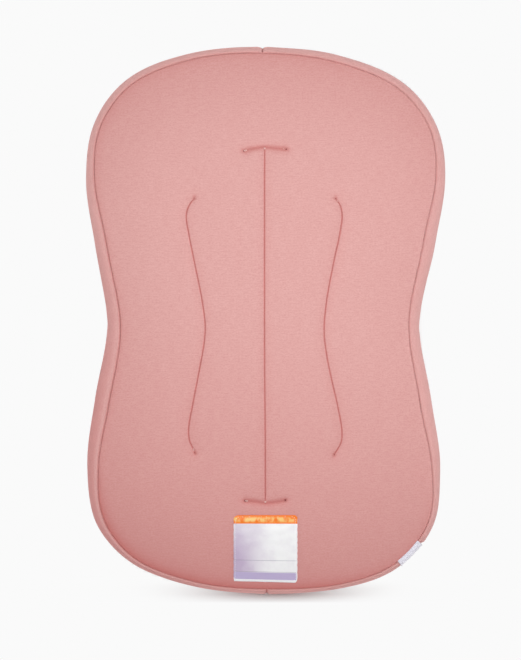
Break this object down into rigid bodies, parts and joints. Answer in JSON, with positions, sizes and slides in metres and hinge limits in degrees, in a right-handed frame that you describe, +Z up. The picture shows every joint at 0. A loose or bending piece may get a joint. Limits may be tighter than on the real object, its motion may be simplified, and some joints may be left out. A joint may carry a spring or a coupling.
{
  "type": "infant lounger",
  "caption": "Flat waisted box cushion for an infant to lie on, with a quilted top panel, a bulging side band and a zipped underside.",
  "frame": {"origin": "on the floor under the middle of the cushion's outline", "axes": "+Y towards the head end, along the length; +X to the right seen from above; +Z up, out of the top face"},
  "size_m": [0.468, 0.7108, 0.1026],
  "materials": {
    "cover_knit": "matte",
    "cover_thread": "matte",
    "label_satin": "satin",
    "tag_tape": "satin",
    "fibre_fill": "matte",
    "casing_cloth": "matte",
    "foam": "matte",
    "zip_cloth": "matte",
    "zip_nylon": "satin",
    "zip_metal": "satin"
  },
  "bodies": {
    "cushion": {"top_panel": "cover_knit", "side_band_left": "cover_knit", "side_band_right": "cover_knit", "base_panel_left": "cover_knit", "base_panel_right": "cover_knit", "spine_seam_thread": "cover_thread", "cross_seam_thread_head": "cover_thread", "cross_seam_thread_foot": "cover_thread", "contour_seam_thread_left": "cover_thread", "contour_seam_thread_right": "cover_thread", "contour_tack_head_left": "cover_thread", "contour_tack_head_right": "cover_thread", "contour_tack_foot_left": "cover_thread", "contour_tack_foot_right": "cover_thread", "cross_tack_head_left": "cover_thread", "cross_tack_head_right": "cover_thread", "cross_tack_foot_left": "cover_thread", "cross_tack_foot_right": "cover_thread", "band_join_thread_head": "cover_thread", "band_join_thread_foot": "cover_thread", "top_seam_thread": "cover_thread", "base_seam_thread": "cover_thread", "base_join_thread_head": "cover_thread", "base_join_thread_foot": "cover_thread", "zip_stitching_left": "cover_thread", "zip_stitching_right": "cover_thread", "label_patch": "label_satin", "label_stitching": "tag_tape", "side_tag": "tag_tape", "top_quilt_wadding": "fibre_fill", "base_wadding_left": "fibre_fill", "base_wadding_right": "fibre_fill", "fibre_wrap_top": "fibre_fill", "fibre_wrap_base": "fibre_fill", "inner_casing_top": "casing_cloth", "inner_casing_base": "casing_cloth", "foam_core": "foam", "zip_tape_left": "zip_cloth", "zip_tape_right": "zip_cloth", "zip_coil_left": "zip_nylon", "zip_coil_right": "zip_nylon", "zip_closed_stop_left": "zip_metal", "zip_closed_stop_right": "zip_metal", "zip_open_stop": "zip_metal"},
    "slider": {"zip_slider": "zip_metal"},
    "pull_tab": {"zip_pull_tab": "zip_metal"}
  },
  "joints": [
    {"name": "zip_slide", "type": "slide", "parent": "cushion", "child": "slider", "axis": [0, 1, 0], "range_m": [0, 0.375]},
    {"name": "pull_tab_hinge", "type": "hinge", "parent": "slider", "child": "pull_tab", "pos_m": [0, -0.1877, 0.00403], "axis": [1, 0, 0], "range_deg": [0, 180]}
  ]
}
